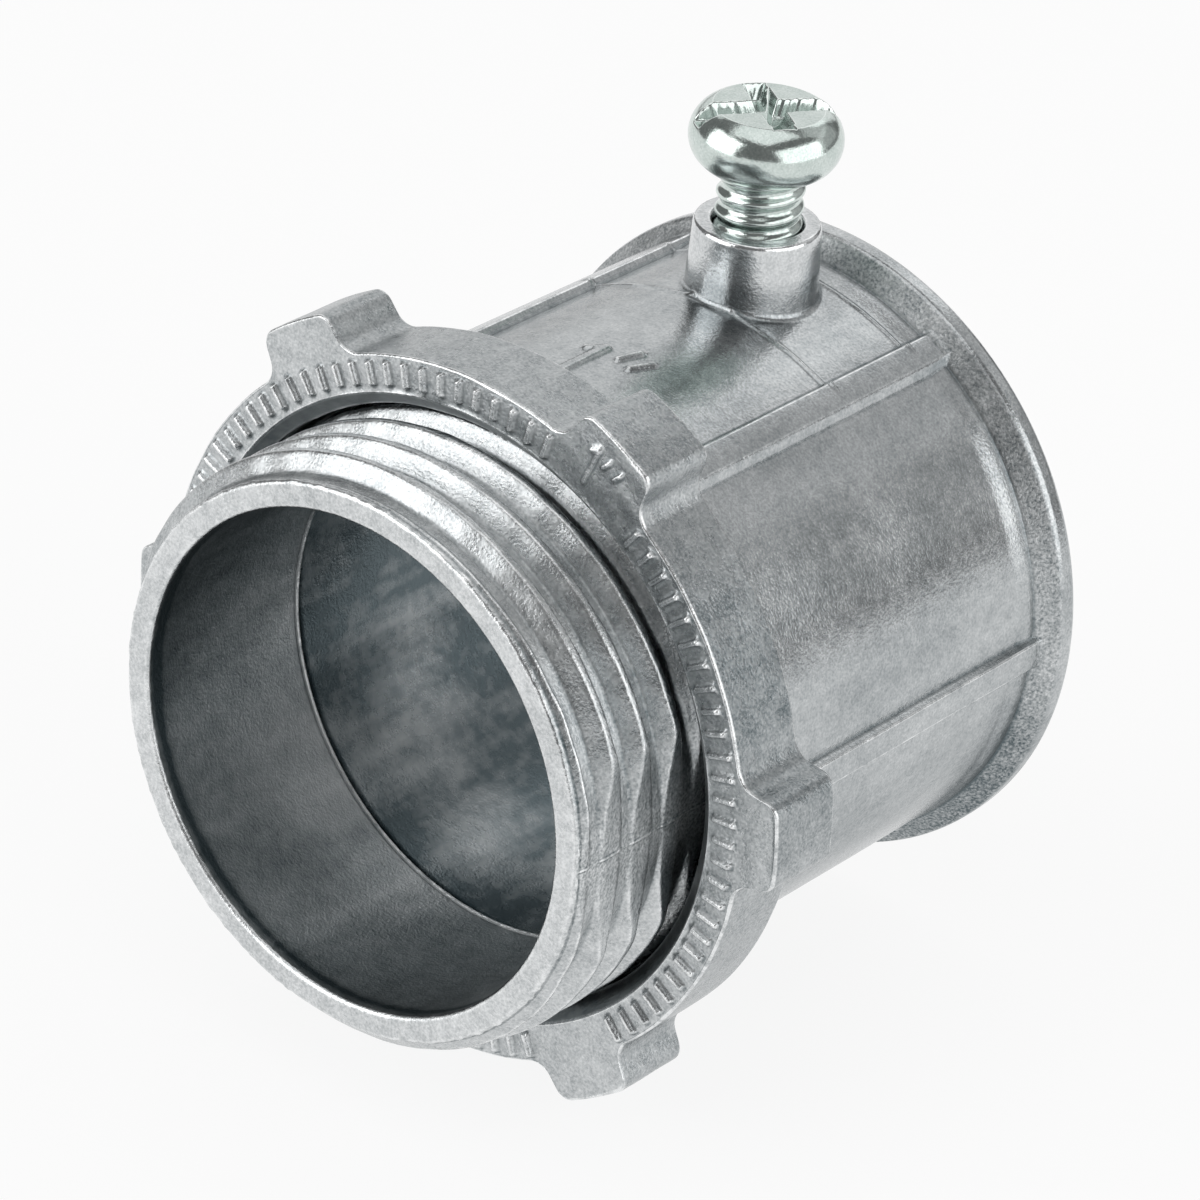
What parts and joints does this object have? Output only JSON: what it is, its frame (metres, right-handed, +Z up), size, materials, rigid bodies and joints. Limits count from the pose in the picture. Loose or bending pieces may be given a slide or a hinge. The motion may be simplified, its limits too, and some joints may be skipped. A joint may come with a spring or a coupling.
{
  "type": "conduit connector",
  "caption": "Die-cast set-screw conduit connector: threaded nipple with a lugged locknut, ribbed barrel with a conduit socket, and a boss with a backed-out set screw.",
  "frame": {"origin": "on the connector's axis, in the plane of the shoulder that seats against the box wall", "axes": "+Y along the axis towards the conduit socket, the nipple towards -Y; +Z up through the set screw; +X completes the frame"},
  "size_m": [0.0442, 0.0388, 0.0486],
  "materials": {
    "cast_zinc": "as-cast zinc alloy, satin, lightly streaked",
    "cast_zinc_nut": "as-cast zinc alloy, fine sandy texture",
    "plated_steel": "bright zinc plating over steel"
  },
  "bodies": {
    "body": {"connector_body": "cast_zinc"},
    "locknut": {"locknut": "cast_zinc_nut"},
    "set_screw": {"set_screw": "plated_steel"}
  },
  "joints": [
    {"name": "locknut_travel", "type": "slide", "parent": "body", "child": "locknut", "axis": [0, -1, 0], "range_m": [0, 0.013]},
    {"name": "set_screw_travel", "type": "slide", "parent": "body", "child": "set_screw", "axis": [0, 0, 1], "range_m": [-0.0031, 0.0062]}
  ]
}
